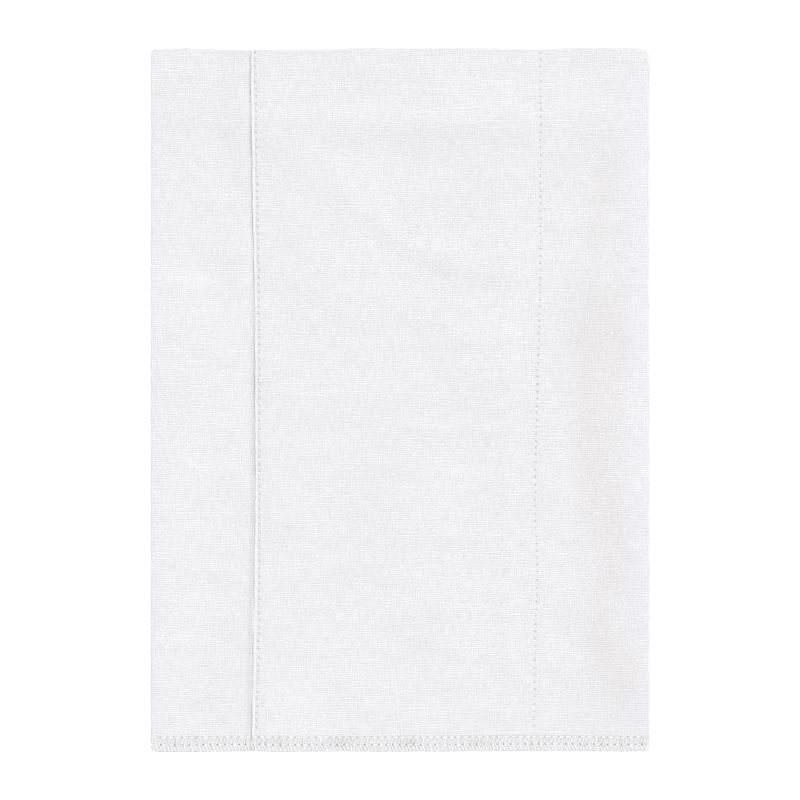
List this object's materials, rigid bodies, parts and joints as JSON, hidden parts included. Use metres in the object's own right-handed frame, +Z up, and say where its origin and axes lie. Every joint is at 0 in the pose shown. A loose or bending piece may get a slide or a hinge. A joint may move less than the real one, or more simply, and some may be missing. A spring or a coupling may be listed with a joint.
{
  "type": "burp cloth",
  "caption": "Folded white cotton burp cloth with lengthwise folds, lockstitched seams and a serged end, lying flat; a soft absorbent pad for a shoulder or lap.",
  "frame": {"origin": "middle of the underside, on the surface the cloth lies on", "axes": "+X across the cloth from the side with the free edge on its face towards the plain side, +Y along the cloth from the serged end to the doubling fold, +Z up from the surface, out of the face"},
  "size_m": [0.2495, 0.3527, 0.0063],
  "materials": {
    "cotton": "bleached plain-woven cotton, matt, with fine ribs across",
    "thread": "bleached spun cotton sewing thread"
  },
  "bodies": {
    "root": {"cloth": "cotton"}
  },
  "joints": []
}
